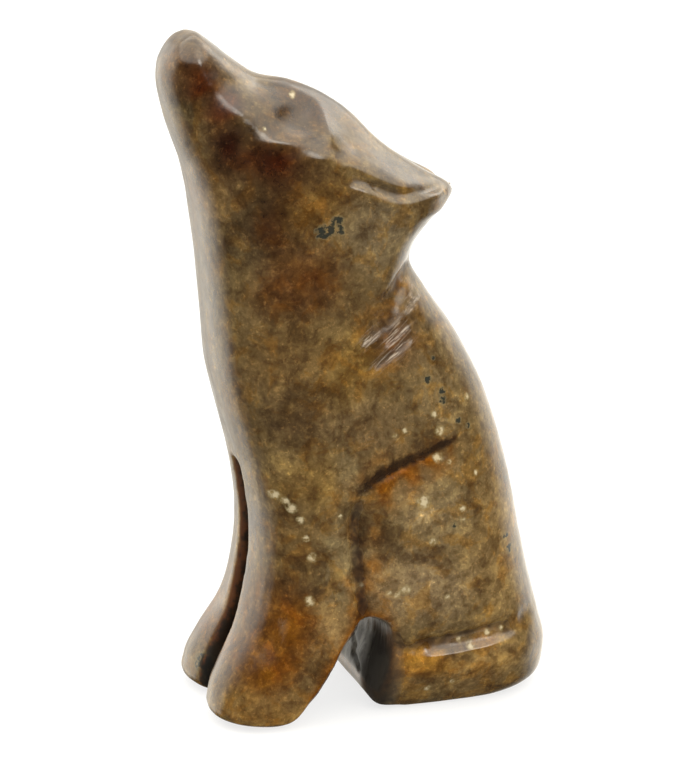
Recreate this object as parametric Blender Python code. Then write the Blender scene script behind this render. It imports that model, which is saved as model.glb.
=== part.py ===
"""A howling wolf carved from one block of soapstone.

The wolf sits facing -X with its muzzle raised; +X is behind it, +Z is up and y = 0 is its middle plane.
It is made as a carver makes it: a rounded blank, saw cuts between the legs, sanding, then filed lines.
All sizes below are in millimetres.
"""

import bmesh
import bpy
import numpy as np
from mathutils import Vector

MM = 0.001

# Stations of the blank, from the base up. Each is a cut through the stone, seen from the side:
# front x, front z, back x, back z, half width, length of the front rounding, length of the back rounding,
# fullness of the front rounding and of the back rounding (2 is round, more is squarer, 1 is a bevel).
STATIONS = (
    (-18.4, 0.0, 24.4, 0.0, 11.0, 8.0, 10.0, 2.6, 2.2),
    (-20.8, 0.9, 26.3, 1.0, 12.5, 8.0, 11.0, 2.7, 2.2),
    (-21.8, 3.6, 28.0, 5.4, 13.5, 8.5, 12.0, 2.7, 2.1),
    (-20.0, 7.6, 26.8, 11.2, 13.7, 8.5, 12.0, 2.6, 2.1),
    (-16.7, 12.7, 25.5, 16.2, 13.6, 8.5, 12.5, 2.6, 2.1),
    (-14.8, 20.0, 24.1, 22.5, 13.4, 8.5, 12.5, 2.6, 2.1),
    (-14.4, 27.0, 22.7, 30.0, 13.1, 8.5, 12.5, 2.6, 2.1),
    (-15.3, 33.8, 20.8, 37.0, 12.7, 8.5, 12.5, 2.6, 2.1),
    (-17.0, 40.6, 18.1, 44.6, 12.1, 8.5, 12.0, 2.6, 2.1),
    (-18.6, 47.4, 14.2, 51.6, 11.5, 8.5, 11.5, 2.6, 2.1),
    (-19.2, 54.0, 10.0, 57.6, 11.0, 8.5, 9.5, 2.6, 2.1),
    (-19.6, 58.4, 8.2, 60.9, 10.8, 8.5, 8.0, 2.6, 2.1),
    (-19.9, 62.4, 9.0, 63.6, 10.8, 8.5, 7.5, 2.6, 1.9),
    (-20.2, 65.4, 12.3, 67.2, 10.8, 8.0, 8.0, 2.6, 1.7),
    (-20.5, 67.6, 15.1, 70.4, 10.7, 8.0, 8.0, 2.6, 1.5),
    (-20.9, 70.4, 10.9, 73.5, 10.6, 8.0, 9.0, 2.6, 1.4),
    (-21.5, 73.1, 6.0, 76.8, 10.2, 8.0, 10.0, 2.5, 1.35),
    (-22.2, 75.8, 1.1, 80.5, 9.6, 7.5, 11.0, 2.5, 1.35),
    (-23.2, 78.3, -3.4, 83.5, 8.9, 7.0, 11.5, 2.4, 1.35),
    (-24.0, 80.9, -7.6, 85.4, 8.2, 6.0, 9.5, 2.4, 1.35),
    (-24.7, 83.6, -12.0, 86.4, 7.4, 5.5, 7.0, 2.3, 1.4),
    (-25.1, 86.4, -15.9, 89.0, 6.7, 4.5, 5.0, 2.2, 1.6),
    (-24.6, 88.9, -18.9, 91.4, 5.6, 3.2, 3.2, 2.1, 2.0),
    (-23.4, 91.0, -20.4, 92.5, 3.2, 1.4, 1.4, 2.0, 2.0),
)
RINGS_PER_STATION = 8
CORNER_POINTS = 26

# The undercut between the front legs and the haunches, seen from the side: (x, z).
BELLY_CUT = ((-14.0, -4.0), (-13.6, 0.0), (-12.0, 0.5), (-10.4, 1.8), (-7.9, 4.8), (-5.4, 8.4), (-3.5, 12.0),
             (-2.2, 13.9), (-0.6, 14.7), (1.4, 14.3), (2.6, 12.9), (2.6, 10.6), (1.7, 7.6), (0.6, 3.6),
             (0.4, 2.0), (1.0, 0.7), (2.4, 0.0), (2.8, -4.0))
# The saw slot that parts the two front legs, seen from the side: it rises to the chest at the front.
LEG_SLOT = ((-30.0, -4.0), (0.0, -4.0), (0.0, 12.0), (-6.0, 25.0), (-12.0, 34.0), (-30.0, 36.0))
SLOT_WIDTH = 3.3
# How far the cutters reach from the middle, well past the stone on every side.
HALF_REACH = 60.0

# The front feet are splayed outwards below one height, the haunches drawn in below another, and the toes rounded.
# The pairs are places along x: where the shaping begins, and where it is full.
SPLAY_HEIGHT, FOOT_SPLAY, FOOT_X = 15.0, 0.06, (-1.0, -12.0)
TUCK_HEIGHT, HAUNCH_TUCK, HAUNCH_X = 8.25, 0.16, (-3.0, 3.0)
TOE_MIDDLE, TOE_ROUNDING, TOE_X = 10.0, 3.2, (-12.0, -20.0)

# Lines filed into each side, seen from the side: points (x, z), half width, depth; negative stands proud.
LINES = (
    ("haunch line", ((11.6, 37.2), (9.0, 36.3), (5.4, 35.1), (1.8, 34.0), (-0.9, 32.0), (-2.3, 29.2), (-2.5, 26.0),
                     (-2.2, 22.0), (-1.6, 17.6), (-1.2, 13.0)), 1.15, 0.85),
    ("hind foot line", ((1.4, 10.2), (5.0, 9.4), (9.4, 9.0), (15.0, 9.5), (20.0, 10.4), (24.0, 12.2)), 1.2, 0.55),
    ("hind foot", ((3.0, 6.2), (12.0, 5.9), (18.0, 6.4), (24.0, 7.6)), 2.4, -0.3),
    ("neck crease", ((8.8, 60.9), (5.4, 58.4), (3.0, 55.2), (0.4, 51.6)), 2.3, 0.7),
    ("ear line", ((-3.0, 74.0), (0.4, 72.6), (4.0, 71.0), (8.0, 70.0), (12.6, 69.9)), 0.85, 0.5),
    ("ear rim", ((-1.6, 72.4), (3.4, 69.6), (7.6, 68.5), (12.4, 68.7)), 1.0, -0.3),
)
# Hollows and swellings on each side: middle (x, z), reach along x and z, depth; negative stands proud.
HOLLOWS = (
    ("haunch", (12.0, 23.0), (10.0, 11.0), -0.5),
    ("flank", (-8.8, 23.0), (5.0, 8.0), 0.25),
    ("shoulder", (-9.0, 43.0), (8.0, 9.0), -0.3),
    ("nape", (10.5, 60.6), (3.0, 4.0), 0.35),
    ("under the ear", (5.0, 65.8), (5.0, 2.2), 0.3),
    ("eye", (-8.6, 81.4), (3.0, 2.2), 0.6),
    ("brow", (-4.6, 79.2), (2.0, 2.2), -0.4),
    ("cheek", (-9.2, 76.4), (5.0, 2.0), -0.25),
)
# The shallow valley that parts the two ears, down the middle of the head: from x, to x, half width, depth; and the
# height it stays above.
EAR_VALLEY = (-1.0, 10.0, 2.3, 2.0)
VALLEY_ABOVE = 62.0
# Lines are filed where the surface faces sideways and lies away from the middle, and the valley where it faces up:
# each pair is where filing begins and where it is full.
SIDEWAYS, FROM_MIDDLE, UPWARDS = (0.15, 0.45), (2.2, 3.6), (0.1, 0.6)

# The haunches' front corners are worn round by more sanding: middle (x, z), reach along x and z, passes.
WORN_MIDDLE, WORN_REACH, WORN_PASSES = (1.9, 5.3), (4.6, 8.5), 40

# The height at which the soles are ground flat after sanding.
SOLE = 0.3

# The grid the blank is modelled on, how long it is sanded, and the triangles the finished solid keeps.
VOXEL = 0.5
SANDING_PASSES = 12
TRIANGLES = 7800

STONE_COLOUR = (0.15, 0.085, 0.038, 1.0)
STONE_ROUGHNESS = 0.24


def through(places, values, at):
    """A smooth curve through values given at increasing places, read at other places."""
    places, values = np.asarray(places, float), np.asarray(values, float)
    slopes = np.gradient(values, places)
    i = np.clip(np.searchsorted(places, at, side="right") - 1, 0, len(places) - 2)
    span = places[i + 1] - places[i]
    t = (at - places[i]) / span
    return (
        (2 * t**3 - 3 * t**2 + 1) * values[i]
        + (t**3 - 2 * t**2 + t) * span * slopes[i]
        + (3 * t**2 - 2 * t**3) * values[i + 1]
        + (t**3 - t**2) * span * slopes[i + 1]
    )


def ease(value, low, high):
    """0 at low, 1 at high, smooth between; low may be the larger."""
    t = np.clip((value - low) / (high - low), 0, 1)
    return t * t * (3 - 2 * t)


def ring(front, back, half_width, front_round, back_round, front_fullness, back_fullness):
    """One closed section: flat sides, rounded over the given lengths at the front and the back."""
    length = np.linalg.norm(back - front)
    turn = np.linspace(0, np.pi / 2, CORNER_POINTS)
    inward_front = front_round * (1 - np.cos(turn) ** (2 / front_fullness))
    inward_back = back_round * (1 - np.cos(turn) ** (2 / back_fullness))
    out_front = half_width * np.sin(turn) ** (2 / front_fullness)
    out_back = half_width * np.sin(turn) ** (2 / back_fullness)
    along = np.concatenate([inward_front, (length - inward_back)[::-1]])
    across = np.concatenate([out_front, out_back[::-1]])
    along = np.concatenate([along, along[-2:0:-1]]) / length
    across = np.concatenate([across, -across[-2:0:-1]])
    x = front[0] + (back[0] - front[0]) * along
    z = front[1] + (back[1] - front[1]) * along
    return np.column_stack([x, across, z])


def splay(p):
    """Spreads the front feet, rounds their toes and tucks the haunches in at the base."""
    x, y, z = p.T
    low = ease(z, SPLAY_HEIGHT, 0)
    wider = FOOT_SPLAY * low * ease(x, *FOOT_X)
    narrower = HAUNCH_TUCK * ease(z, TUCK_HEIGHT, 0) * ease(x, *HAUNCH_X)
    toe = TOE_ROUNDING * ((np.abs(y) - TOE_MIDDLE) / TOE_MIDDLE) ** 2 * np.sqrt(low) * ease(x, *TOE_X)
    return np.column_stack([x + toe, y * (1 + wider - narrower), z])


def mesh_object(name, points, faces):
    mesh = bpy.data.meshes.new(name)
    mesh.from_pydata([tuple(p) for p in np.asarray(points) * MM], [], faces)
    obj = bpy.data.objects.new(name, mesh)
    bpy.context.scene.collection.objects.link(obj)
    return obj


def blank():
    """The rounded block with the wolf's outline, lofted through the stations."""
    rows = np.array(STATIONS)
    middles = (rows[:, 0:2] + rows[:, 2:4]) / 2
    steps = np.linalg.norm(np.diff(middles, axis=0), axis=1)
    along = np.concatenate([[0], np.cumsum(steps)])
    at = [np.linspace(a, b, RINGS_PER_STATION, endpoint=False) for a, b in zip(along, along[1:])]
    at = np.concatenate(at + [along[-1:]])
    table = np.column_stack([through(along, column, at) for column in rows.T])
    rings = [ring(row[0:2], row[2:4], *row[4:]) for row in table]
    n = len(rings[0])
    faces = [
        (k * n + i, k * n + (i + 1) % n, (k + 1) * n + (i + 1) % n, (k + 1) * n + i)
        for k in range(len(rings) - 1)
        for i in range(n)
    ]
    faces.append(tuple(range(n))[::-1])
    top = (len(rings) - 1) * n
    faces.append(tuple(range(top, top + n)))
    return mesh_object("blank", np.concatenate(rings), faces)


def prism(name, outline, y_low, y_high):
    """A cutter: an outline in the side view, extruded across the stone."""
    obj = mesh_object(name, [(x, y_low, z) for x, z in outline], [tuple(range(len(outline)))])
    edit = bmesh.new()
    edit.from_mesh(obj.data)
    raised = bmesh.ops.extrude_face_region(edit, geom=edit.faces[:])
    lift = Vector((0, (y_high - y_low) * MM, 0))
    bmesh.ops.translate(edit, verts=[v for v in raised["geom"] if isinstance(v, bmesh.types.BMVert)], vec=lift)
    bmesh.ops.recalc_face_normals(edit, faces=edit.faces[:])
    edit.to_mesh(obj.data)
    edit.free()
    obj.hide_render = True
    obj.display_type = "WIRE"
    return obj


def cut(obj, cutter):
    boolean = obj.modifiers.new(cutter.name, "BOOLEAN")
    boolean.operation = "DIFFERENCE"
    boolean.object = cutter


def bake(obj):
    """Replaces the object's mesh with what its modifiers make of it."""
    graph = bpy.context.evaluated_depsgraph_get()
    obj.data = bpy.data.meshes.new_from_object(obj.evaluated_get(graph))
    obj.modifiers.clear()


def read(mesh, attribute):
    values = np.empty(3 * len(mesh.vertices))
    mesh.vertices.foreach_get(attribute, values)
    return values.reshape(-1, 3)


def write(mesh, points):
    mesh.vertices.foreach_set("co", (np.asarray(points) * MM).ravel())
    mesh.update()


def nearness(line, half_width, u, w):
    """1 on a smooth line through the given points in the side view, fading to 0 beside it and at its ends."""
    line = np.asarray(line, float)
    steps = np.concatenate([[0], np.cumsum(np.linalg.norm(np.diff(line, axis=0), axis=1))])
    at = np.linspace(0, steps[-1], 6 * len(line))
    curve = np.column_stack([through(steps, column, at) for column in line.T])
    nearest = np.full(len(u), np.inf)
    where = np.zeros(len(u))
    for a, b, start, end in zip(curve, curve[1:], at, at[1:]):
        d = b - a
        t = np.clip(((u - a[0]) * d[0] + (w - a[1]) * d[1]) / (d @ d), 0, 1)
        away = np.hypot(u - a[0] - t * d[0], w - a[1] - t * d[1])
        where = np.where(away < nearest, start + t * (end - start), where)
        nearest = np.minimum(nearest, away)
    fade = min(2 * half_width, 0.3 * steps[-1])
    along = ease(where, -0.4 * fade, fade) * ease(where, steps[-1] + 0.4 * fade, steps[-1] - fade)
    return along * np.exp(-((nearest / half_width) ** 2))


def far_from(p, middle, reach):
    """How far each point is from a place in the side view, squared, in parts of the reach."""
    return ((p[:, 0] - middle[0]) / reach[0]) ** 2 + ((p[:, 2] - middle[1]) / reach[1]) ** 2


def sand(obj, name, passes, weights=None):
    """Smooths the whole stone, or as much of each point as its weight says."""
    smooth = obj.modifiers.new(name, "SMOOTH")
    smooth.factor = 0.5
    smooth.iterations = passes
    if weights is not None:
        group = obj.vertex_groups.new(name=name)
        for i in np.flatnonzero(weights):
            group.add([int(i)], float(weights[i]), "REPLACE")
        smooth.vertex_group = name
    bake(obj)


def file_lines(mesh):
    """Files the lines and hollows into both sides, along the surface's own normals."""
    p, n = read(mesh, "co") / MM, read(mesh, "normal")
    facing = ease(np.abs(n[:, 1]), *SIDEWAYS) * ease(np.abs(p[:, 1]), *FROM_MIDDLE)
    sink = np.zeros(len(p))
    for _, line, half_width, depth in LINES:
        sink += depth * nearness(line, half_width, p[:, 0], p[:, 2]) * facing
    for _, middle, reach, depth in HOLLOWS:
        sink += depth * np.exp(-far_from(p, middle, reach)) * facing
    start, end, half_width, depth = EAR_VALLEY
    upward = ease(n[:, 2] + n[:, 0] / 2, *UPWARDS) * (p[:, 2] > VALLEY_ABOVE)
    sink += depth * np.exp(-((p[:, 1] / half_width) ** 2)) * ease(p[:, 0], start, end) * upward
    write(mesh, p - n * sink[:, None])


def centre(obj):
    """Puts the origin under the middle of the stone, on the surface it stands on."""
    p = read(obj.data, "co") / MM
    low, high = p.min(axis=0), p.max(axis=0)
    write(obj.data, p - [(low[0] + high[0]) / 2, (low[1] + high[1]) / 2, low[2]])


def polished_stone():
    material = bpy.data.materials.new("polished_soapstone")
    material.use_nodes = True
    shader = material.node_tree.nodes["Principled BSDF"]
    shader.inputs["Base Color"].default_value = STONE_COLOUR
    shader.inputs["Roughness"].default_value = STONE_ROUGHNESS
    shader.inputs["Metallic"].default_value = 0.0
    return material


def main():
    for obj in list(bpy.data.objects):
        bpy.data.objects.remove(obj)
    wolf = blank()
    wolf.name = "carved_wolf"
    cut(wolf, prism("belly_cut", BELLY_CUT, -HALF_REACH, HALF_REACH))
    cut(wolf, prism("leg_slot", LEG_SLOT, -SLOT_WIDTH / 2, SLOT_WIDTH / 2))
    remesh = wolf.modifiers.new("fine_grid", "REMESH")
    remesh.mode = "VOXEL"
    remesh.voxel_size = VOXEL * MM
    bake(wolf)
    write(wolf.data, splay(read(wolf.data, "co") / MM))
    sand(wolf, "sanding", SANDING_PASSES)
    worn = ease(far_from(read(wolf.data, "co") / MM, WORN_MIDDLE, WORN_REACH), 1.0, 0.5)
    sand(wolf, "worn_corners", WORN_PASSES, worn)
    file_lines(wolf.data)
    floor = ((-HALF_REACH, -HALF_REACH), (HALF_REACH, -HALF_REACH), (HALF_REACH, SOLE), (-HALF_REACH, SOLE))
    cut(wolf, prism("floor_cut", floor, -HALF_REACH, HALF_REACH))
    bake(wolf)
    thin = wolf.modifiers.new("fewer_triangles", "DECIMATE")
    thin.ratio = TRIANGLES / (2 * len(wolf.data.polygons))
    bake(wolf)
    centre(wolf)
    wolf.data.shade_smooth()
    wolf.data.materials.clear()
    wolf.data.materials.append(polished_stone())


main()
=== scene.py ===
"""A howling wolf carved from one piece of soapstone, with its colours and polish, a studio and a camera.

The wolf faces -X, its left side is -Y and +Z is up. Sizes and places in the tables are millimetres.
"""

import math

import bpy
import numpy as np
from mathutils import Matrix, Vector, noise


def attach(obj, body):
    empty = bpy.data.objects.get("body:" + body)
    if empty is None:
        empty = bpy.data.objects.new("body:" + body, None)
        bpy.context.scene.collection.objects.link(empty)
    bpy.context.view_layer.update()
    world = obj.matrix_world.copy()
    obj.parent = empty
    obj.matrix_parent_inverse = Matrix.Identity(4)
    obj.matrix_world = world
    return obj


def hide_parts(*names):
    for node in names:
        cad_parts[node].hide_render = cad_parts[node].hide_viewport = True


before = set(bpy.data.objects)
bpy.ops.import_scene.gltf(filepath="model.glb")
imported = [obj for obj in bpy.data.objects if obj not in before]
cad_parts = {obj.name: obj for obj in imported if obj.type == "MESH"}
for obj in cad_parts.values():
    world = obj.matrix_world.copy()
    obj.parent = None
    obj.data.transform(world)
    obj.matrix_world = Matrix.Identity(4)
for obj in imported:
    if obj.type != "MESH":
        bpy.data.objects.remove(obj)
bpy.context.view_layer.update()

MM = 0.001

# The visual surface: its grid, and how it is smoothed without shrinking.
GRID = 0.39
SMOOTHING_ROUNDS = 20
SHRINK, SWELL = 0.5, -0.52

# Camera, in metres: where it looks, how far away it stands and the nearest it sees; its angles and its lens.
AIM = Vector((-0.00145, 0.0, 0.0430))
DISTANCE, CLIP_START = 0.42, 0.01
AZIMUTH, ELEVATION = -17.0, 16.0
LENS, SENSOR = 146.3, 36.0

# The light tent: how bright its roof, back and front are, where white is 1, and where the roof and the
# back begin and are full, as parts of a direction.
TOP_LIGHT, BACK_LIGHT, FRONT_LIGHT = 2.8, 0.95, 0.06
ROOF_UP, BACK_BEHIND, BACK_UP = (0.46, 0.58), (0.05, 0.42), (-0.62, -0.36)
# Its lamps and side walls: a direction, a brightness, and the cosines of the edge and the core.
LAMPS = (
    ("ridge lamp", (0.74, 0.46, 0.49), 2.4, 0.965, 0.99),
    ("overhead lamp", (0.30, -0.36, 0.88), 1.2, 0.88, 0.98),
    ("side lamp", (0.28, -0.76, 0.58), 7.5, 0.980, 0.995),
    ("left wall", (-0.62, 0.78, 0.0), 1.25, 0.80, 0.96),
    ("right wall", (0.80, 0.60, -0.1), 0.8, 0.70, 0.92),
)
WARM_WHITE, WHITE = (1.0, 0.967, 0.88, 1), (1, 1, 1, 1)
# The floor's paper, its glow as on a light table, and its half width and drop in metres.
PAPER, PAPER_GLOW, PAPER_ROUGHNESS = (0.2, 0.2, 0.2, 1), 0.76, 0.9
FLOOR_HALF, FLOOR_DROP = 3.0, 0.0001

# Lines filed into both sides, seen from the side: points (x, z); half width and depth at the start and
# the end. A negative depth stands proud.
LINES = (
    ("haunch line, floor", ((10.2, 36.6), (7.6, 36.0), (4.0, 34.8), (0.4, 33.7), (-2.3, 31.7), (-3.4, 29.6)),
     (1.3, 1.3), (-0.6, -0.6)),
    ("haunch line", ((10.8, 38.2), (6.8, 36.6), (3.4, 35.5), (0.4, 34.4), (-2.0, 32.7), (-3.4, 30.2)),
     (0.7, 1.6), (0.2, 0.35)),
    ("haunch line, low", ((-3.1, 30.8), (-3.7, 28.0), (-3.6, 24.0), (-3.2, 19.0), (-2.7, 13.6)),
     (1.3, 1.4), (0.25, 0.3)),
    ("hind foot line, old", ((3.5, 9.1), (8.0, 8.7), (13.5, 9.2), (18.5, 10.1)),
     (1.2, 1.2), (-0.45, -0.5)),
    ("hind foot line", ((0.0, 9.9), (3.0, 9.7), (8.0, 10.2), (13.4, 10.8), (19.6, 11.7)),
     (0.7, 0.7), (0.3, 0.3)),
    ("hind foot slope", ((3.6, 10.0), (8.0, 10.3), (13.4, 10.8), (19.6, 11.7)),
     (1.6, 1.6), (0.8, 0.95)),
    ("hind foot edge", ((4.4, 8.0), (8.0, 8.1), (13.0, 8.5), (19.6, 9.3)),
     (0.9, 0.9), (-0.35, -0.4)),
    ("hind foot file mark", ((6.0, 9.2), (9.0, 9.2), (13.4, 9.6), (19.0, 10.3)),
     (0.45, 0.45), (0.2, 0.2)),
    ("neck crease", ((6.4, 60.6), (4.5, 60.0), (2.9, 58.3), (0.8, 56.0), (-1.7, 52.8)),
     (0.5, 2.0), (0.6, 0.45)),
    ("ear line", ((-4.6, 74.6), (-1.9, 73.1), (0.8, 71.8), (2.9, 71.2), (5.4, 71.1), (10.6, 71.0)),
     (0.8, 0.6), (0.3, 0.45)),
    ("ear rim", ((-4.0, 73.0), (0.2, 70.7), (3.0, 69.9), (7.0, 69.9), (10.6, 70.1)),
     (0.9, 0.6), (-0.25, -0.4)),
)
# A line fades out at its ends, over so many half widths, or over this share of its length if that is less.
# The fade starts a little beyond the end, at this share of itself.
FADE_WIDTHS, FADE_SHARE, FADE_START = 2.5, 0.3, -0.3
# The lines that hold rust-coloured stain and painted shade, and how much; the stain is wider than the line
# and lies below it, the painted shade is narrower and lies a little above: a dark colour for the shadow on
# the groove's upper wall.
STAINED = {"haunch line": 1.0, "haunch line, low": 0.65, "hind foot line": 0.3, "neck crease": 0.3}
STAIN_WIDTH, STAIN_DROP = 2.5, 1.2
GROOVE_SHADE_WIDTH, GROOVE_SHADE_RISE = 0.75, 0.2
# These lines also waver: noise per millimetre, and how far; and the noise's seeds along x and z.
SHAKE, SHAKE_SEEDS = ((0.45, 0.40), (1.1, 0.22)), (2.3, 6.1)
# The line left with file strokes across it, how deep, and their noise per millimetre with its seed.
STROKED, STROKE_DEPTH, STROKE_NOISE = "hind foot slope", 0.13, ((0.95, 0.2, 0.2), 12.6)
# The lines lie where the surface faces sideways and away from the middle; gouges where it faces left.
SIDEWAYS, FROM_MIDDLE, TURNED_LEFT = (0.12, 0.4), (2.0, 3.4), (0.1, 0.4)
# Hollows and swellings on both sides: middle (x, z), reach along x and z, depth; negative stands proud.
HOLLOWS = (
    ("eye", (-8.8, 80.4), (3.2, 2.1), 0.18),
    ("stop", (-13.0, 84.6), (3.0, 1.6), 0.25),
    ("brow", (-6.2, 79.4), (1.2, 2.2), -0.3),
    ("cheek bone", (-11.4, 78.6), (4.6, 0.9), -0.3),
    ("temple", (-2.0, 77.6), (2.4, 2.2), 0.2),
)
# Marks on the left side only: strokes of a slipped file. Points (x, z), half width, depth.
GOUGES = (
    (((-3.0, 51.4), (-1.4, 52.5), (0.0, 53.5)), 0.35, 0.3),
    (((-1.2, 48.2), (0.5, 49.4), (1.9, 50.3), (4.6, 52.2)), 0.4, 0.4),
    (((0.4, 51.0), (2.2, 52.4), (4.2, 54.0)), 0.45, 0.2),
    (((3.6, 55.2), (5.0, 56.2), (6.6, 57.4)), 0.35, 0.2),
)
# The strokes' slant in degrees, their noise per millimetre with its seed and its share of the depth, and
# how much wider than a gouge the polish is scraped off.
GOUGE_ANGLE = 36.0
RASP_NOISE, RASP_SHARE = ((0.5, 1, 4.5), 7.3), 0.5
SCRAPE_WIDTH = 2.2
# The undercut behind the front legs, where the stone was left bare: its ends along x and z, and how far
# sideways its walls face. It is filed at the top, smoother below, and cracked across (y, z).
NOTCH_ALONG, NOTCH_UP, NOTCH_WALL = (-14.5, 1.5), (2.6, 15.6), (0.9, 0.5)
FILE_MARKS_ABOVE = 9.5
FILE_MARKS, SMOOTH_MARKS, WAVES = 0.35, 0.05, 0.1
CRACK = ((4.0, 9.6), (1.0, 8.0), (1.8, 7.0), (-0.6, 6.0), (-0.2, 5.0), (-3.0, 4.2), (-4.6, 3.0))
CRACK_WIDTH, CRACK_DEPTH = 0.45, 0.35
# The file's noises: each per millimetre, a seed and a share; and the noise of the waves below.
FILE_NOISES = (((0.25, 1.5, 0.22), 3.1, 1.0), ((0.5, 3.2, 0.5), 9.4, 0.5))
WAVE_NOISE = ((0.3, 0.5, 0.3), 4.4)
# The painted shade in its near corner, a dark colour standing for shadow: each pair is a place where there
# is none and one where it is full.
CORNER_SHADE_BEHIND, CORNER_SHADE_AHEAD, CORNER_SHADE_ACROSS, CORNER_SHADE_UP = (3.4, 0.4), (-3.0, -2.0), (-3.0, -8.0), (13.0, 9.5)
# The slot sawn between the front legs, with how deep its saw marks are and their noise.
SLOT_HALF, SLOT_TOP, SLOT_END, SLOT_WALL = 2.3, 36.5, (1.0, -1.0), (0.3, 0.7)
SAW_MARKS, SAW_NOISE = 0.05, ((1.2, 0.2, 0.3), 5.5)
# How soon the undercut and the slot fade in at their ends, and the slot across.
SOFT, SLOT_SOFT = 1.0, 0.5
# Heights at which the front of the stone is found: how far apart, and how many.
LEVEL_STEP, LEVELS = 0.5, 400
# The haunches' worn front corners: middle and reach in the side view, and rounds of sanding.
WORN_EDGE = ((0.4, 5.0), (4.6, 8.5), 25)
# The unevenness of hand sanding: waves per millimetre, and height; and their seed.
UNDULATION, UNDULATION_SEED = ((0.075, 0.14), (0.24, 0.035)), 21.7

# How far around each point its surroundings reach, in steps of the grid: to find grooves, which the colour
# darkens as painted shade, and the undercut's rusty rim with its strength.
CAVITY_ROUNDS, RIM_ROUNDS, RIM_STRENGTH = 12, 16, 2.5

# Colour of the stone by place, both sides: name, middle (x, z), reach along x and z, sRGB colour, strength.
STONE, RUST = (88, 71, 43), (100, 60, 8)
ZONES = (
    ("muzzle top", (-18.0, 90.0), (8.0, 3.4), (70, 56, 40), 0.9),
    ("forehead", (-7.0, 82.0), (9.0, 4.0), (45, 27, 9), 0.9),
    ("ear", (4.0, 73.5), (7.0, 3.0), (69, 55, 36), 0.8),
    ("throat", (-21.0, 75.0), (2.6, 9.0), (92, 70, 40), 0.8),
    ("muzzle side", (-23.6, 84.0), (1.6, 3.0), (66, 55, 33), 0.8),
    ("nostril", (-23.4, 87.0), (3.0, 2.6), (52, 23, 5), 1.0),
    ("lip", (-20.4, 83.6), (2.4, 2.4), (56, 22, 6), 0.9),
    ("cheek shadow", (-19.6, 78.6), (3.4, 3.6), (30, 8, 2), 1.0),
    ("cheek", (-14.0, 75.6), (6.0, 3.0), (45, 16, 2), 1.0),
    ("jaw", (-14.0, 68.6), (4.4, 5.4), (33, 9, 1), 0.95),
    ("nape side", (-8.0, 70.6), (4.6, 4.0), (97, 70, 28), 0.8),
    ("neck back", (0.0, 66.0), (5.0, 5.0), (104, 89, 64), 0.8),
    ("neck, olive", (-17.6, 62.0), (3.4, 8.0), (71, 57, 34), 0.8),
    ("neck, brown", (-11.0, 60.4), (6.0, 5.0), (72, 42, 11), 0.9),
    ("chest", (-13.0, 50.0), (6.0, 5.0), (84, 63, 33), 0.8),
    ("chest shadow", (-11.0, 42.6), (6.0, 4.0), (64, 47, 25), 0.9),
    ("shoulder", (-4.0, 48.0), (4.0, 5.0), (108, 83, 38), 0.8),
    ("flank", (-2.0, 40.6), (6.0, 4.0), (97, 78, 50), 0.8),
    ("gouged patch", (2.4, 51.4), (3.8, 3.2), (64, 38, 17), 0.9),
    ("back", (8.0, 46.0), (4.4, 9.0), (102, 85, 57), 0.8),
    ("upper arm", (-10.0, 33.6), (5.0, 4.0), (116, 91, 46), 0.8),
    ("forearm", (-12.0, 25.6), (4.0, 5.0), (87, 67, 37), 0.9),
    ("forearm, light", (-5.4, 22.4), (2.6, 6.0), (116, 104, 74), 0.8),
    ("wrist", (-12.6, 19.0), (4.0, 2.4), (70, 51, 28), 0.9),
    ("front foot", (-12.8, 14.0), (4.4, 4.8), (90, 52, 3), 0.95),
    ("front foot, low", (-16.4, 8.4), (4.4, 4.0), (85, 49, 2), 0.9),
    ("front foot, light", (-7.8, 13.6), (2.4, 4.4), (135, 109, 67), 0.8),
    ("front toes", (-15.0, 2.6), (6.0, 2.6), (118, 88, 42), 0.8),
    ("haunch", (6.0, 29.0), (5.0, 5.0), (113, 96, 66), 0.8),
    ("thigh", (5.0, 18.0), (7.0, 5.0), (120, 101, 72), 0.8),
    ("rump", (16.0, 22.0), (5.0, 12.0), (113, 91, 55), 0.9),
    ("olive band", (-4.4, 34.2), (2.2, 3.8), (118, 104, 72), 0.75),
    ("haunch, cream", (5.4, 27.8), (2.0, 1.5), (138, 117, 82), 0.75),
    ("hind foot", (6.0, 7.0), (5.0, 2.2), (138, 97, 29), 0.9),
    ("hind foot, back", (14.6, 6.6), (4.6, 2.4), (143, 113, 63), 0.85),
    ("hind foot, low", (11.0, 4.0), (8.0, 2.4), (100, 78, 44), 0.8),
)
# How far noise pushes the patches about along x and z, with its seeds; its parts are noise per
# millimetre, a step of the seed and a share. And how sharply a patch ends.
DRIFT, DRIFT_SEEDS, DRIFT_PARTS = 1.3, (1.7, 8.9), ((0.16, 0, 1.0), (0.4, 5, 0.5))
ZONE_EDGE = 1.4
# The rust is patchy: its least share, a noise per millimetre with its seed, and where that starts and ends.
RUST_LEAST, RUST_NOISE, RUST_PATCHES = 0.35, (0.6, 14.2), (-0.35, 0.25)
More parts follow.
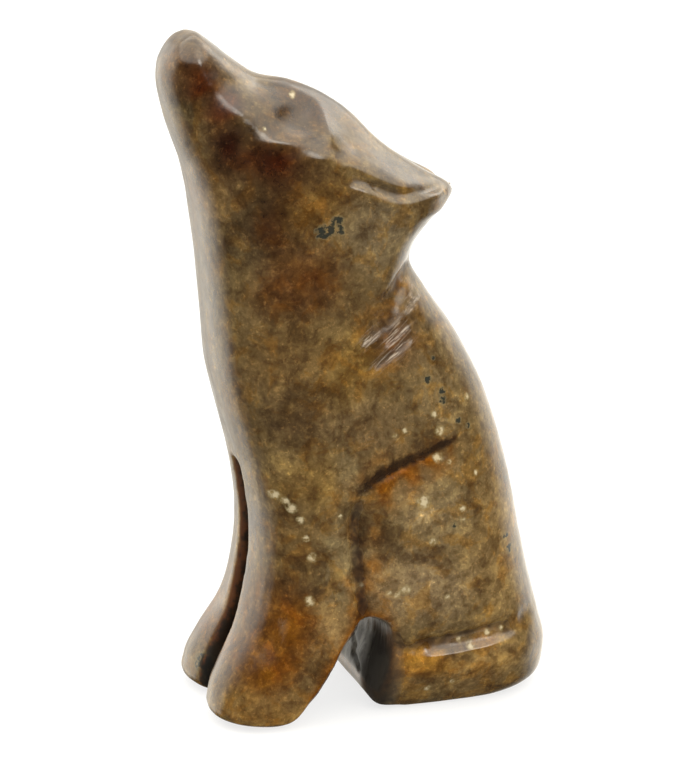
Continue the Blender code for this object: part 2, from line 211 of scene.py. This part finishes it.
# Cream mineral flecks and dark blue-green spots on the left side: middle (x, z) and radius.
FLECKS = (
    (-14.3, 32.0, 0.5), (-13.1, 31.3, 0.45), (-12.3, 30.3, 0.5), (-11.3, 28.8, 0.4), (7.9, 39.3, 0.5),
    (7.5, 35.7, 0.55), (-10.3, 17.7, 0.5), (2.8, 18.1, 0.5), (1.6, 17.6, 0.35), (0.5, 17.9, 0.3),
    (10.8, 27.0, 0.3), (1.6, 39.3, 0.25), (3.0, 39.8, 0.3), (-9.8, 23.6, 0.5), (8.6, 16.6, 0.3),
    (-14.8, 80.4, 0.2), (-9.6, 83.6, 0.35), (5.4, 30.0, 0.7), (-6.0, 29.0, 0.3), (13.0, 33.0, 0.3),
    (12.4, 43.0, 0.35), (-3.0, 19.0, 0.3), (9.0, 35.0, 0.3), (7.2, 41.6, 0.35), (10.8, 28.6, 0.35),
    (-10.6, 26.2, 0.35), (6.6, 24.4, 0.4), (12.0, 9.3, 0.4), (14.6, 10.6, 0.35), (10.6, 10.0, 0.3),
    (16.8, 10.8, 0.3), (6.4, 3.2, 0.35), (9.8, 4.0, 0.3),
)
SPOTS = (
    (-7.7, 66.9, 0.8), (-6.5, 67.3, 0.7), (-5.7, 68.1, 0.65), (-5.3, 67.0, 0.5), (6.4, 46.2, 0.45),
    (7.4, 48.8, 0.25), (8.5, 43.3, 0.45), (8.5, 44.5, 0.4), (10.7, 40.3, 0.35), (12.2, 39.3, 0.3),
    (18.5, 21.5, 0.5), (17.8, 23.3, 0.45), (18.8, 30.5, 0.3), (14.0, 12.6, 0.25), (9.6, 26.4, 0.3),
)
# Spots on the far front foot, where it faces left.
FAR_SPOTS = ((-20.9, 4.6, 1.1), (-20.3, 2.6, 0.9))

# The material's noises are each: features per millimetre, octaves, roughness and, for some, distortion.
# Here whether a noise is read at the second place, apart from the others, comes before these.
SECOND_PLACE = (31.0, 17.0, 53.0)
NOISES = {
    "clouds": (False, 0.20, 5, 0.6, 0.5),
    "ochre clouds": (True, 0.28, 5, 0.65, 0.6),
    "mottle": (False, 0.65, 5, 0.62, 0.4),
    "grain": (True, 1.9, 4, 0.65, 0.3),
    "seeds": (True, 1.2, 4, 0.7, 0.2),
    "specks": (False, 1.2, 5, 0.8),
    "pips": (True, 2.1, 1.5, 0.5),
}
# Tones laid over the colour in this order: what each follows, where it starts and where it is full, how
# much of it there is, and what it does. "times" multiplies red, green and blue; "paint" is an sRGB colour.
TONES = (
    ("clouds", 0.50, 0.36, 0.85, "times", (0.52, 0.46, 0.40)),
    ("clouds", 0.52, 0.64, 0.70, "times", (1.42, 1.44, 1.40)),
    ("ochre clouds", 0.49, 0.62, 0.70, "times", (1.20, 0.95, 0.50)),
    ("mottle", 0.50, 0.36, 0.60, "times", (0.45, 0.38, 0.32)),
    ("mottle", 0.50, 0.64, 0.60, "times", (1.70, 1.75, 1.70)),
    ("grain", 0.49, 0.36, 0.35, "times", (0.60, 0.55, 0.50)),
    ("grain", 0.52, 0.66, 0.45, "times", (1.60, 1.65, 1.65)),
    ("seeds", 0.54, 0.68, 0.50, "times", (1.95, 1.90, 1.75)),
    ("seeds", 0.54, 0.74, 0.16, "paint", (128, 94, 52)),
    ("specks", 0.37, 0.28, 0.60, "paint", (36, 24, 15)),
    ("pips", 0.64, 0.74, 0.45, "times", (2.2, 2.1, 1.9)),
    ("fleck", 0.12, 0.50, 0.50, "paint", (140, 124, 84)),
    ("fleck", 0.34, 0.95, 0.74, "paint", (196, 182, 150)),
    ("spot", 0.15, 0.40, 0.35, "paint", (126, 116, 84)),
    ("spot", 0.32, 0.60, 0.90, "paint", (27, 34, 33)),
    # painted shade along the upper walls of the stained grooves
    ("groove_shade", 0.1, 0.9, 0.9, "paint", (34, 20, 9)),
    # painted shade: grooves darkened by how hollow they are; the next row lightens worn edges
    ("cavity", 0.03, 0.25, 0.5, "times", (0.42, 0.34, 0.26)),
    ("cavity", -0.03, -0.2, 0.4, "times", (1.4, 1.4, 1.3)),
)
# What makes flecks and spots ragged and the painted groove shade uneven. Such a row of four is where a noise
# starts and ends, and what it becomes there.
RAGGED_NOISE, RAGGED, UNEVEN_GROOVE_SHADE = (1.6, 3, 0.6), (0.3, 0.7, 0.5, 1.5), (0.35, 0.65, 0.16, -0.16)
# Bare stone, filed at the top and smeared below: how its noise is squeezed along x, y and z, the noise,
# where that starts and ends, and its two colours. The filed strokes are grey bare stone painted dark in
# their furrows and light on their ridges, as painted shade and painted highlight.
FILED_SQUEEZE, FILED_NOISE = (0.3, 1.8, 0.25), (1.0, 4, 0.7)
FILED_LIMITS, FILED_DARK, FILED_LIGHT = (0.42, 0.60), (30, 27, 22), (132, 126, 111)
SMEARED_SQUEEZE, SMEARED_NOISE = (1.0, 1.0, 0.5), (0.35, 5, 0.6, 1.0)
SMEARED_LIMITS, SMEARED_DARK, SMEARED_LIGHT = (0.44, 0.56), (42, 38, 32), (98, 94, 83)
# The slot's walls: how far behind the front they turn from rust to black, both colours, and what makes
# that uneven. The black deep inside is painted shade.
SAWN_LIMITS, SAWN_FRONT, SAWN_INSIDE_SHADE = (0.4, 1.4), (84, 42, 8), (14, 8, 4)
SAWN_NOISE, SAWN_UNEVEN = (0.8, 4, 0.7), (0.3, 0.7, -0.6, 0.6)
# The slipped file's scratches: how they are stretched along their slant, their noise and where it starts
# and ends. Their colour, light partly as scraped stone and partly as painted highlight, and the colour of
# the painted shade in the undercut's corner; then how much of the stone's colour each of these hides.
SCRATCH_STRETCH, SCRATCH_NOISE, SCRATCH_LIMITS = (4.0, 1.0, 0.35), (1.2, 4, 0.7), (0.50, 0.62)
SCRATCH_COLOUR, CORNER_SHADE_COLOUR = (178, 164, 146), (26, 19, 12)
BARE_HIDES, CORNER_SHADE_HIDES, SAWN_HIDES, SCRATCHES_HIDE = 0.92, 0.9, 0.9, 0.75
# The wax: its roughness follows a noise, and grows where stone is bare, in the corner of painted shade or in
# a groove.
POLISH_NOISE, POLISH = (0.4, 4, 0.6), (0.3, 0.7, 0.14, 0.26)
BARE_ROUGHER, CORNER_SHADE_ROUGHER, GROOVE_ROUGHER = 0.3, 0.6, (0.03, 0.25, 0, 0.2)
WAX_IOR = 1.49
# Relief too fine for the grid: a noise and its height; the height of the undercut's file strokes; strength.
BUMPS = (((3.2, 4, 0.6), 0.012), ((0.7, 2, 0.5), 0.04))
FILED_BUMP, BUMP_STRENGTH = 0.25, 0.6


# ---------------------------------------------------------------- arithmetic on points

def ease(value, low, high):
    """0 at low, 1 at high, smooth between; low may be the larger."""
    t = np.clip((value - low) / (high - low), 0, 1)
    return t * t * (3 - 2 * t)


def between(value, low, high):
    """1 from low to high, fading softly at both, and 0 outside."""
    return ease(value, low, low + SOFT) * ease(value, high, high - SOFT)


def cloudy(points, per_mm, shift):
    """Smooth noise from -1 to 1 at each point."""
    moved = points * per_mm + shift
    return np.array([noise.noise(Vector(p)) for p in moved])


def away_from(points, middle, reach):
    """Squared distance from a place in the side view, counted in its reaches."""
    return ((points[:, 0] - middle[0]) / reach[0]) ** 2 + ((points[:, 2] - middle[1]) / reach[1]) ** 2


def curve_through(line, per_span=5):
    """Points along a smooth curve through the given ones."""
    line = np.asarray(line, float)
    padded = np.vstack([2 * line[0] - line[1], line, 2 * line[-1] - line[-2]])
    t = np.linspace(0, 1, per_span, endpoint=False)[:, None]
    spans = []
    for a, b, c, d in zip(padded, padded[1:], padded[2:], padded[3:]):
        bend, twist = 2 * a - 5 * b + 4 * c - d, 3 * b - a - 3 * c + d
        spans.append(b + 0.5 * ((c - a) * t + bend * t**2 + twist * t**3))
    return np.vstack(spans + [line[-1:]])


def along_line(line, u, w):
    """Distance to a line in the side view, the place along it from 0 to 1, and the line's length."""
    curve = curve_through(line)
    steps = np.concatenate([[0], np.cumsum(np.linalg.norm(np.diff(curve, axis=0), axis=1))])
    nearest = np.full(len(u), np.inf)
    place = np.zeros(len(u))
    for a, b, start, end in zip(curve, curve[1:], steps, steps[1:]):
        d = b - a
        t = np.clip(((u - a[0]) * d[0] + (w - a[1]) * d[1]) / (d @ d), 0, 1)
        away = np.hypot(u - a[0] - t * d[0], w - a[1] - t * d[1])
        place = np.where(away < nearest, start + t * (end - start), place)
        nearest = np.minimum(nearest, away)
    return nearest, place / steps[-1], steps[-1]


def groove(line, half_widths, u, w):
    """1 on the line, fading to 0 beside it and at its ends; also the place along it."""
    away, place, length = along_line(line, u, w)
    start, end = half_widths
    half = start + (end - start) * place
    fade = min(FADE_WIDTHS * max(start, end), FADE_SHARE * length) / length
    ends = ease(place, FADE_START * fade, fade) * ease(1 - place, FADE_START * fade, fade)
    return ends * np.exp(-((away / half) ** 2)), place


def turn(degrees):
    """A turn in the side view, as a matrix for rows of points."""
    c, s = math.cos(math.radians(degrees)), math.sin(math.radians(degrees))
    return np.array([[c, 0, -s], [0, 1, 0], [s, 0, c]])


# ---------------------------------------------------------------- meshes

def mesh_arrays(mesh):
    """The mesh's points in millimetres, and its normals."""
    points = np.empty(3 * len(mesh.vertices))
    normals = np.empty(3 * len(mesh.vertices))
    mesh.vertices.foreach_get("co", points)
    mesh.vertices.foreach_get("normal", normals)
    return points.reshape(-1, 3) / MM, normals.reshape(-1, 3)


def put_points(mesh, points):
    """Moves the mesh's points to these places in millimetres."""
    mesh.vertices.foreach_set("co", (points * MM).ravel())
    mesh.update()


def even_grid(node):
    """A copy of the CAD solid on a fine, even grid of quads."""
    wolf = bpy.data.objects.new("wolf_stone", node.data.copy())
    bpy.context.scene.collection.objects.link(wolf)
    remesh = wolf.modifiers.new("fine_grid", "REMESH")
    remesh.mode = "VOXEL"
    remesh.voxel_size = GRID * MM
    graph = bpy.context.evaluated_depsgraph_get()
    mesh = bpy.data.meshes.new_from_object(wolf.evaluated_get(graph))
    wolf.modifiers.clear()
    wolf.data = mesh
    return wolf


def edge_ends(mesh):
    """The points at the two ends of every edge, as two rows."""
    ends = np.empty(2 * len(mesh.edges), dtype=np.int64)
    mesh.edges.foreach_get("vertices", ends)
    return ends.reshape(-1, 2).T


def neighbour_mean(values, edges):
    """The mean of each point's neighbours, for an array of columns."""
    a, b = edges
    count = np.bincount(a, minlength=len(values)) + np.bincount(b, minlength=len(values))
    total = [np.bincount(a, v[b], len(v)) + np.bincount(b, v[a], len(v)) for v in values.T]
    return np.column_stack(total) / count[:, None]


def smooth(mesh, rounds):
    """Evens the surface out and keeps its size: each round shrinks it a little and swells it back."""
    points, _ = mesh_arrays(mesh)
    edges = edge_ends(mesh)
    for _ in range(rounds):
        for factor in (SHRINK, SWELL):
            points += factor * (neighbour_mean(points, edges) - points)
    put_points(mesh, points)


def round_off(mesh, middle, reach, rounds):
    """Wears down the edges around one place in the side view."""
    points, _ = mesh_arrays(mesh)
    edges = edge_ends(mesh)
    near = ease(away_from(points, middle, reach), 1.0, 0.5)[:, None]
    for _ in range(rounds):
        points += SHRINK * near * (neighbour_mean(points, edges) - points)
    put_points(mesh, points)


def hollowness(mesh):
    """How far each point lies below the surface around it: positive in grooves, negative on edges."""
    points, normals = mesh_arrays(mesh)
    edges = edge_ends(mesh)
    even = points.copy()
    for _ in range(CAVITY_ROUNDS):
        even = neighbour_mean(even, edges)
    return ((even - points) * normals).sum(axis=1)


def beside(mesh, field):
    """Strong just outside the region where the field is 1."""
    edges = edge_ends(mesh)
    spread = field[:, None]
    for _ in range(RIM_ROUNDS):
        spread = neighbour_mean(spread, edges)
    return np.clip(RIM_STRENGTH * spread[:, 0], 0, 1) * (1 - field)


def keep(mesh, name, values):
    """Stores one number or one colour for each point of the mesh, for the material to read."""
    if values.ndim == 1:
        mesh.attributes.new(name, "FLOAT", "POINT").data.foreach_set("value", values)
    else:
        mesh.attributes.new(name, "FLOAT_VECTOR", "POINT").data.foreach_set("vector", values.ravel())


# ---------------------------------------------------------------- the carved surface

def filed_lines(p, sides):
    """How deep the lines are filed, and how strongly each point holds their rust stain and their painted
    shade.
    """
    x, _, z = p.T
    shake = [sum(width * cloudy(p, per_mm, s) for per_mm, width in SHAKE) for s in SHAKE_SEEDS]
    sink, stain, groove_shade = np.zeros((3, len(p)))
    for name, line, half_widths, depths in LINES:
        half_widths = np.array(half_widths)
        stained = name in STAINED
        u, w = x + stained * shake[0], z + stained * shake[1]
        near, place = groove(line, half_widths, u, w)
        depth = depths[0] + (depths[1] - depths[0]) * place
        sink += sides * depth * near
        if name == STROKED:
            sink += sides * near * STROKE_DEPTH * cloudy(p, *STROKE_NOISE)
        if stained:
            wide, _ = groove(line, STAIN_WIDTH * half_widths, u, w + STAIN_DROP)
            # painted shade: a narrow dark band a little above the line, for the shadow on its upper wall
            narrow, _ = groove(line, GROOVE_SHADE_WIDTH * half_widths, u, w - GROOVE_SHADE_RISE)
            stain = np.maximum(stain, STAINED[name] * sides * wide)
            groove_shade = np.maximum(groove_shade, STAINED[name] * sides * narrow)
    return sink, stain, groove_shade


def hollows(p, sides):
    """How deep the hollows of the face are, with its swellings as negative depths."""
    return sides * sum(depth * np.exp(-away_from(p, middle, reach)) for _, middle, reach, depth in HOLLOWS)


def slipped_file(p, left):
    """How deep the gouges are, and where they scraped the polish off."""
    x, _, z = p.T
    rasp = cloudy(p * (1, 0, 1) @ turn(GOUGE_ANGLE), *RASP_NOISE)
    sink, scraped = np.zeros((2, len(p)))
    for line, half_width, depth in GOUGES:
        half_widths = np.array((half_width, half_width))
        near, _ = groove(line, half_widths, x, z)
        wide, _ = groove(line, SCRAPE_WIDTH * half_widths, x, z)
        sink += left * near * depth * (1 + RASP_SHARE * rasp)
        scraped = np.maximum(scraped, left * wide)
    return sink, scraped


def undercut(p, across):
    """How deep the marks in the undercut are, where its bare stone is, and how much of it is filed."""
    x, y, z = p.T
    notch = between(x, *NOTCH_ALONG) * between(z, *NOTCH_UP) * ease(across, *NOTCH_WALL)
    high = ease(z, FILE_MARKS_ABOVE - SOFT, FILE_MARKS_ABOVE + SOFT)
    file_marks = sum(share * cloudy(p, per_mm, seed) for per_mm, seed, share in FILE_NOISES)
    crack, _ = groove(CRACK, (CRACK_WIDTH, CRACK_WIDTH), y, z)
    sink = notch * (SMOOTH_MARKS + (FILE_MARKS - SMOOTH_MARKS) * high) * file_marks
    sink += notch * (CRACK_DEPTH * crack + WAVES * (1 - high) * cloudy(p, *WAVE_NOISE))
    return sink, notch, high


def behind_the_front(x, z):
    """How far each point lies behind the front of the stone at its own height."""
    level = np.clip((z / LEVEL_STEP).astype(int), 0, LEVELS - 1)
    front = np.full(LEVELS, np.inf)
    np.minimum.at(front, level, x)
    return x - front[level]


def carve(mesh):
    """Cuts all the lines, hollows and marks, and returns the fields that the material reads."""
    p, n = mesh_arrays(mesh)
    x, y, z = p.T
    across = np.abs(n[:, 1])
    sides = ease(across, *SIDEWAYS) * ease(np.abs(y), *FROM_MIDDLE)
    left = ease(-n[:, 1], *TURNED_LEFT)
    lines, stain, groove_shade = filed_lines(p, sides)
    gouges, scraped = slipped_file(p, left)
    marks, notch, high = undercut(p, across)
    # painted shade in the undercut's near corner
    corner_shade = ease(x, *CORNER_SHADE_BEHIND) * ease(x, *CORNER_SHADE_AHEAD) * ease(y, *CORNER_SHADE_ACROSS) * ease(z, *CORNER_SHADE_UP)
    slot = ease(np.abs(y), SLOT_HALF + SLOT_SOFT, SLOT_HALF) * ease(z, SLOT_TOP + SOFT, SLOT_TOP - SOFT)
    slot *= ease(x, *SLOT_END) * ease(across, *SLOT_WALL)
    sink = lines + hollows(p, sides) + gouges + marks + SAW_MARKS * slot * cloudy(p, *SAW_NOISE)
    for per_mm, height in UNDULATION:
        sink += height * cloudy(p, per_mm, UNDULATION_SEED) * (1 - notch)
    put_points(mesh, p - n * sink[:, None])
    return {
        "stain": stain, "groove_shade": groove_shade, "scraped": scraped, "notch": notch, "high": high, "corner_shade": corner_shade,
        "slot": slot, "depth": behind_the_front(x, z),
    }


def linear(colour):
    """An sRGB colour from 0 to 255 as linear light."""
    c = np.asarray(colour, float) / 255
    return np.where(c <= 0.04045, c / 12.92, ((c + 0.055) / 1.055) ** 2.4)


def tint(p):
    """The stone's colour by place, its patches bent out of shape by noise."""
    moved = p.copy()
    for axis, seed in zip((0, 2), DRIFT_SEEDS):
        drift = sum(share * cloudy(p, per_mm, seed + step) for per_mm, step, share in DRIFT_PARTS)
        moved[:, axis] += DRIFT * drift
    colour = np.tile(linear(STONE), (len(p), 1))
    for _, middle, reach, shade, strength in ZONES:
        weight = strength * np.exp(-(away_from(moved, middle, reach) ** ZONE_EDGE))
        colour += weight[:, None] * (linear(shade) - colour)
    return colour


def dots(p, n, places, near=True):
    """Dots on faces turned left, of the near or the far half: 1 in the middle, 0 at twice the radius."""
    left = ease(-n[:, 1], *TURNED_LEFT) * ((p[:, 1] < 0) == near)
    best = np.zeros(len(p))
    for x, z, radius in places:
        away = np.hypot(p[:, 0] - x, p[:, 2] - z)
        best = np.maximum(best, left * np.clip(1 - away / (2 * radius), 0, 1))
    return best


def carved_wolf():
    """The visible wolf: the CAD solid on a fine grid, carved finer and given its stone."""
    wolf = even_grid(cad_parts["carved_wolf"])
    mesh = wolf.data
    smooth(mesh, SMOOTHING_ROUNDS)
    round_off(mesh, *WORN_EDGE)
    fields = carve(mesh)
    smooth(mesh, 1)
    p, n = mesh_arrays(mesh)
    fields["cavity"] = hollowness(mesh)
    patchy = RUST_LEAST + (1 - RUST_LEAST) * ease(cloudy(p, *RUST_NOISE), *RUST_PATCHES)
    rust = np.clip(patchy * fields.pop("stain") + beside(mesh, fields["notch"]), 0, 1)[:, None]
    fields["tint"] = tint(p) * (1 - rust) + linear(RUST) * rust
    fields["fleck"] = dots(p, n, FLECKS)
    fields["spot"] = np.maximum(dots(p, n, SPOTS), dots(p, n, FAR_SPOTS, near=False))
    for name, values in fields.items():
        keep(mesh, name, values)
    mesh.shade_smooth()
    mesh.materials.clear()
    mesh.materials.append(polished_stone())
    return wolf


# ---------------------------------------------------------------- the stone

def rgb(*colour):
    """An sRGB colour from 0 to 255 as a shader's colour."""
    return (*linear(colour), 1.0)


class Nodes:
    """Short ways to add shader nodes to a material and join them."""

    def __init__(self, tree):
        self.tree = tree

    def add(self, kind, inputs=None, **settings):
        node = self.tree.nodes.new(kind)
        for key, value in settings.items():
            setattr(node, key, value)
        for key, value in (inputs or {}).items():
            self.plug(node.inputs[key], value)
        return node

    def plug(self, socket, value):
        """Joins a socket to another node's output, or sets it to a value."""
        if isinstance(value, bpy.types.NodeSocket):
            self.tree.links.new(value, socket)
        else:
            socket.default_value = value

    def field(self, name, colour=False):
        """What the mesh keeps under this name."""
        node = self.add("ShaderNodeAttribute", attribute_name=name)
        return node.outputs["Vector" if colour else "Fac"]

    def math(self, operation, a, b, clamp=False):
        return self.add("ShaderNodeMath", {0: a, 1: b}, operation=operation, use_clamp=clamp).outputs[0]

    def chain(self, operation, first, *others):
        """One operation over several values in turn."""
        for value in others:
            first = self.math(operation, first, value)
        return first

    def vector(self, operation, a, b):
        return self.add("ShaderNodeVectorMath", {0: a, 1: b}, operation=operation).outputs["Vector"]

    def span(self, value, low, high, out_low=0.0, out_high=1.0):
        """One number at low and another at high, smooth between."""
        inputs = {"Value": value, "From Min": low, "From Max": high, "To Min": out_low, "To Max": out_high}
        return self.add("ShaderNodeMapRange", inputs, interpolation_type="SMOOTHSTEP").outputs["Result"]

    def cloud(self, where, per_mm, detail, roughness, distortion=0.0):
        """Noise, read where the vector says."""
        inputs = {"Vector": where, "Scale": per_mm, "Detail": detail}
        inputs |= {"Roughness": roughness, "Distortion": distortion}
        return self.add("ShaderNodeTexNoise", inputs).outputs["Fac"]

    def mix(self, amount, a, b, blend="MIX"):
        node = self.add("ShaderNodeMix", data_type="RGBA", blend_type=blend)
        self.plug(node.inputs["Factor"], amount)
        self.plug(node.inputs[6], a)
        self.plug(node.inputs[7], b)
        return node.outputs[2]

    def shade(self, colour, red, green, blue):
        """The colour with its red, green and blue multiplied."""
        return self.mix(1.0, colour, (red, green, blue, 1), "MULTIPLY")

    def cover(self, colour, mask, amount, paint):
        """The colour, hidden by paint as far as the mask and the amount say."""
        return self.mix(self.math("MULTIPLY", mask, amount), colour, paint)


def stone_colour(g, mm):
    """The colour by place, with all the tones laid over it."""
    second = g.vector("ADD", mm, SECOND_PLACE)
    masks = {name: g.cloud(second if moved else mm, *rest) for name, (moved, *rest) in NOISES.items()}
    ragged = g.span(g.cloud(mm, *RAGGED_NOISE), *RAGGED)
    for name in ("fleck", "spot"):
        masks[name] = g.math("MULTIPLY", g.field(name), ragged)
    # painted groove shade, made uneven by the mottle
    masks["groove_shade"] = g.math("ADD", g.field("groove_shade"), g.span(masks["mottle"], *UNEVEN_GROOVE_SHADE))
    masks["cavity"] = g.field("cavity")
    colour = g.field("tint", colour=True)
    for name, start, full, amount, way, tone in TONES:
        toned = g.shade(colour, *tone) if way == "times" else rgb(*tone)
        colour = g.mix(g.span(masks[name], start, full, 0, amount), colour, toned)
    return colour


def worked_colour(g, mm, strokes, colour):
    """The colour, with bare stone where it was filed (its strokes partly painted highlight and shade) and
    sawn (black deep inside as painted shade), painted shade in the undercut's corner, and scratches (partly
    painted highlight).
    """
    # bare grey stone, painted dark in the file's furrows and light on its ridges as painted shade and
    # highlight
    filed = g.mix(g.span(strokes, *FILED_LIMITS), rgb(*FILED_DARK), rgb(*FILED_LIGHT))
    smears = g.span(g.cloud(g.vector("MULTIPLY", mm, SMEARED_SQUEEZE), *SMEARED_NOISE), *SMEARED_LIMITS)
    smeared = g.mix(smears, rgb(*SMEARED_DARK), rgb(*SMEARED_LIGHT))
    bare = g.mix(g.field("high"), smeared, filed)
    deep = g.math("ADD", g.field("depth"), g.span(g.cloud(mm, *SAWN_NOISE), *SAWN_UNEVEN))
    # rust at the slot's front, black deeper in as painted shade
    sawn_and_shaded = g.mix(g.span(deep, *SAWN_LIMITS), rgb(*SAWN_FRONT), rgb(*SAWN_INSIDE_SHADE))
    slant = {"Vector": mm, "Rotation": (0, math.radians(-GOUGE_ANGLE), 0), "Scale": SCRATCH_STRETCH}
    slanted = g.add("ShaderNodeMapping", slant, vector_type="TEXTURE").outputs["Vector"]
    scratches = g.span(g.cloud(slanted, *SCRATCH_NOISE), *SCRATCH_LIMITS)
    colour = g.cover(colour, g.field("notch"), BARE_HIDES, bare)
    # painted shade darkens the undercut's near corner
    colour = g.cover(colour, g.field("corner_shade"), CORNER_SHADE_HIDES, rgb(*CORNER_SHADE_COLOUR))
    colour = g.cover(colour, g.field("slot"), SAWN_HIDES, sawn_and_shaded)
    # scratches, light partly as scraped stone and partly as painted highlight
    scratched = g.math("MULTIPLY", g.field("scraped"), scratches)
    return g.cover(colour, scratched, SCRATCHES_HIDE, rgb(*SCRATCH_COLOUR))


def waxed(g, mm):
    """The roughness of a waxed polish, a little uneven, and rougher where the stone was left bare."""
    polish = g.span(g.cloud(mm, *POLISH_NOISE), *POLISH)
    bare = g.chain("MAXIMUM", *(g.field(name) for name in ("notch", "slot", "scraped", "corner_shade")))
    rough = g.math("ADD", polish, g.math("MULTIPLY", bare, BARE_ROUGHER))
    rough = g.math("ADD", rough, g.math("MULTIPLY", g.field("corner_shade"), CORNER_SHADE_ROUGHER))
    return g.math("ADD", rough, g.span(g.field("cavity"), *GROOVE_ROUGHER), clamp=True)


def relief(g, mm, strokes):
    """Fine unevenness all over, and the file's strokes at the top of the undercut."""
    heights = [g.math("MULTIPLY", g.cloud(mm, *rest), height) for rest, height in BUMPS]
    filed = g.chain("MULTIPLY", g.field("notch"), g.field("high"), strokes, FILED_BUMP)
    inputs = {"Height": g.chain("ADD", *heights, filed), "Distance": MM, "Strength": BUMP_STRENGTH}
    return g.add("ShaderNodeBump", inputs).outputs["Normal"]


def polished_stone():
    """Brown, mottled soapstone under a waxed polish, bare and grey where it was left as filed."""
    material = bpy.data.materials.new("polished_soapstone")
    material.use_nodes = True
    shader = material.node_tree.nodes["Principled BSDF"]
    g = Nodes(material.node_tree)
    place = g.add("ShaderNodeTexCoord").outputs["Object"]
    mm = g.vector("MULTIPLY", place, (1 / MM, 1 / MM, 1 / MM))
    strokes = g.cloud(g.vector("MULTIPLY", mm, FILED_SQUEEZE), *FILED_NOISE)
    g.plug(shader.inputs["Base Color"], worked_colour(g, mm, strokes, stone_colour(g, mm)))
    g.plug(shader.inputs["Roughness"], waxed(g, mm))
    g.plug(shader.inputs["Normal"], relief(g, mm, strokes))
    shader.inputs["IOR"].default_value = WAX_IOR
    return material


# ---------------------------------------------------------------- studio and camera

def studio():
    """A pale floor in a light tent: bright above and behind, dimmer in front."""
    scene = bpy.context.scene
    scene.view_settings.view_transform = "Standard"
    world = bpy.data.worlds.new("light_tent")
    scene.world = world
    world.use_nodes = True
    tree = world.node_tree
    g = Nodes(tree)
    direction = g.add("ShaderNodeTexCoord").outputs["Generated"]
    parts = g.add("ShaderNodeSeparateXYZ", {0: direction}).outputs
    above = g.span(parts["Z"], *ROOF_UP, 0, TOP_LIGHT)
    behind = g.span(parts["Y"], *BACK_BEHIND, 0, BACK_LIGHT)
    behind = g.math("MULTIPLY", behind, g.span(parts["Z"], *BACK_UP))
    glow = g.math("ADD", g.math("MAXIMUM", above, behind), FRONT_LIGHT)
    for _, aim, brightness, edge, core in LAMPS:
        inputs = {0: direction, 1: Vector(aim).normalized()}
        towards = g.add("ShaderNodeVectorMath", inputs, operation="DOT_PRODUCT").outputs["Value"]
        glow = g.math("ADD", glow, g.span(towards, edge, core, 0, brightness))
    seen = g.add("ShaderNodeLightPath").outputs["Is Camera Ray"]
    glow = g.add("ShaderNodeMix", {0: seen, 2: glow, 3: 1.0}, data_type="FLOAT").outputs[0]
    g.plug(tree.nodes["Background"].inputs["Color"], g.mix(seen, WARM_WHITE, WHITE))
    g.plug(tree.nodes["Background"].inputs["Strength"], glow)
    paper_floor()


def paper_floor():
    """A large sheet of glowing paper under the wolf, which its polish does not mirror."""
    h = FLOOR_HALF
    mesh = bpy.data.meshes.new("floor")
    mesh.from_pydata([(-h, -h, 0), (h, -h, 0), (h, h, 0), (-h, h, 0)], [], [(0, 1, 2, 3)])
    floor = bpy.data.objects.new("floor", mesh)
    bpy.context.scene.collection.objects.link(floor)
    floor.location.z = -FLOOR_DROP
    floor.visible_glossy = False
    paper = bpy.data.materials.new("floor_paper")
    paper.use_nodes = True
    shader = paper.node_tree.nodes["Principled BSDF"]
    shader.inputs["Base Color"].default_value = PAPER
    shader.inputs["Emission Color"].default_value = WHITE
    shader.inputs["Emission Strength"].default_value = PAPER_GLOW
    shader.inputs["Roughness"].default_value = PAPER_ROUGHNESS
    mesh.materials.append(paper)


def camera():
    """The camera, looking at the wolf from its left and a little from its front and above."""
    a, e = math.radians(AZIMUTH), math.radians(ELEVATION)
    back = Vector((math.sin(a) * math.cos(e), -math.cos(a) * math.cos(e), math.sin(e)))
    data = bpy.data.cameras.new("camera")
    data.sensor_fit = "VERTICAL"
    data.sensor_height = SENSOR
    data.lens = LENS
    data.clip_start = CLIP_START
    view = bpy.data.objects.new("camera", data)
    view.location = AIM + back * DISTANCE
    view.rotation_euler = back.to_track_quat("Z", "Y").to_euler()
    bpy.context.scene.collection.objects.link(view)
    bpy.context.scene.camera = view


wolf = carved_wolf()
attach(wolf, "root")
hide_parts("carved_wolf")
studio()
camera()
